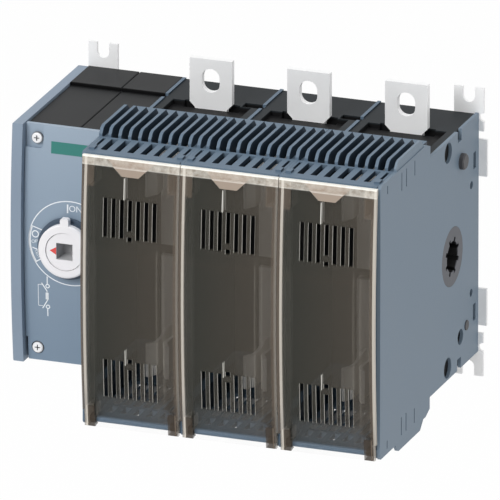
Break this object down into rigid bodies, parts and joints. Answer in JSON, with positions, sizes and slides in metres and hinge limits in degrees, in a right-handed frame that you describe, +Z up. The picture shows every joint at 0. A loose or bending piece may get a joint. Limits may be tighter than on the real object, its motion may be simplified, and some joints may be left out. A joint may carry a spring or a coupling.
{
  "type": "fuse switch disconnector",
  "caption": "Panel-mounted fuse switch disconnector with side mechanism, finned fuse housings, clear slotted covers and flat terminals.",
  "frame": {"origin": "centre of the four fixing slots, in the plane of the brackets' backs", "axes": "+X to the right seen from the front, +Y to the wall behind, +Z up"},
  "size_m": [0.2522, 0.176, 0.2],
  "materials": {
    "housing": "moulded, fine satin texture",
    "front": "moulded, fine satin texture",
    "black": "moulded, fine matt texture",
    "cover": "clear smoke-brown plastic",
    "white": "smooth moulded",
    "hub": "moulded, matt",
    "collar": "moulded, matt",
    "rotor": "moulded",
    "tin": "tin-plated copper bar",
    "copper": "silver-plated copper",
    "zinc": "zinc-plated sheet steel",
    "steel": "turned steel",
    "gear": "sintered steel",
    "screw": "nickel-plated steel"
  },
  "bodies": {
    "base": {"arc_plates_1": "steel", "arc_plates_2": "steel", "arc_plates_3": "steel", "bracket_bottom_left": "zinc", "bracket_bottom_right": "zinc", "bracket_screws": "screw", "bracket_top_left": "zinc", "bracket_top_right": "zinc", "end_plate": "housing", "front_plate": "front", "front_plate_screws": "screw", "fuse_contact_bottom_1": "copper", "fuse_contact_bottom_2": "copper", "fuse_contact_bottom_3": "copper", "fuse_contact_top_1": "copper", "fuse_contact_top_2": "copper", "fuse_contact_top_3": "copper", "fuse_housing_1": "housing", "fuse_housing_2": "housing", "fuse_housing_3": "housing", "left_side_shell": "housing", "mechanism_housing": "housing", "pole_plate_1": "housing", "pole_plate_2": "housing", "pole_plate_3": "housing", "selector_collar": "collar", "selector_ring": "white", "snap_spring": "steel", "switch_chamber_bottom_1": "black", "switch_chamber_bottom_2": "black", "switch_chamber_bottom_3": "black", "switch_chamber_top_1": "black", "switch_chamber_top_2": "black", "switch_chamber_top_3": "black", "terminal_bottom_1": "tin", "terminal_bottom_2": "tin", "terminal_bottom_3": "tin", "terminal_top_1": "tin", "terminal_top_2": "tin", "terminal_top_3": "tin", "tie_rods": "steel"},
    "selector": {"selector_disc": "white", "drive_spindle": "steel", "drive_gear": "gear"},
    "rotor_shaft": {"rotor_1": "rotor", "rotor_2": "rotor", "rotor_3": "rotor", "contact_blades_1": "copper", "contact_blades_2": "copper", "contact_blades_3": "copper", "output_shaft": "steel", "shaft_gear": "gear", "side_hub": "hub"},
    "cover_1": {"fuse_cover_1": "cover"},
    "cover_2": {"fuse_cover_2": "cover"},
    "cover_3": {"fuse_cover_3": "cover"},
    "lid_front_left": {"aux_lid_front_left": "black"},
    "lid_front_right": {"aux_lid_front_right": "black"},
    "lid_rear_left": {"aux_lid_rear_left": "black"},
    "lid_rear_right": {"aux_lid_rear_right": "black"}
  },
  "joints": [
    {"name": "rotor_turn", "type": "hinge", "parent": "base", "child": "rotor_shaft", "pos_m": [0.0279, -0.047, 0], "axis": [1, 0, 0], "range_deg": [-30, 90]},
    {"name": "selector_turn", "type": "hinge", "parent": "base", "child": "selector", "pos_m": [-0.094, -0.047, 0], "axis": [0, 1, 0], "range_deg": [-30, 90]},
    {"name": "cover_1_swing", "type": "hinge", "parent": "base", "child": "cover_1", "pos_m": [-0.0321, -0.1674, -0.0796], "axis": [1, 0, 0], "range_deg": [0, 75]},
    {"name": "cover_2_swing", "type": "hinge", "parent": "base", "child": "cover_2", "pos_m": [0.0279, -0.1674, -0.0796], "axis": [1, 0, 0], "range_deg": [0, 75]},
    {"name": "cover_3_swing", "type": "hinge", "parent": "base", "child": "cover_3", "pos_m": [0.0879, -0.1674, -0.0796], "axis": [1, 0, 0], "range_deg": [0, 75]},
    {"name": "lid_front_left_lift", "type": "slide", "parent": "base", "child": "lid_front_left", "axis": [0, 0, 1], "range_m": [0, 0.014]},
    {"name": "lid_front_right_lift", "type": "slide", "parent": "base", "child": "lid_front_right", "axis": [0, 0, 1], "range_m": [0, 0.014]},
    {"name": "lid_rear_left_lift", "type": "slide", "parent": "base", "child": "lid_rear_left", "axis": [0, 0, 1], "range_m": [0, 0.014]},
    {"name": "lid_rear_right_lift", "type": "slide", "parent": "base", "child": "lid_rear_right", "axis": [0, 0, 1], "range_m": [0, 0.014]}
  ],
  "couplings": [
    {"joint": "selector_turn", "follows": "rotor_turn", "ratio": 1}
  ]
}
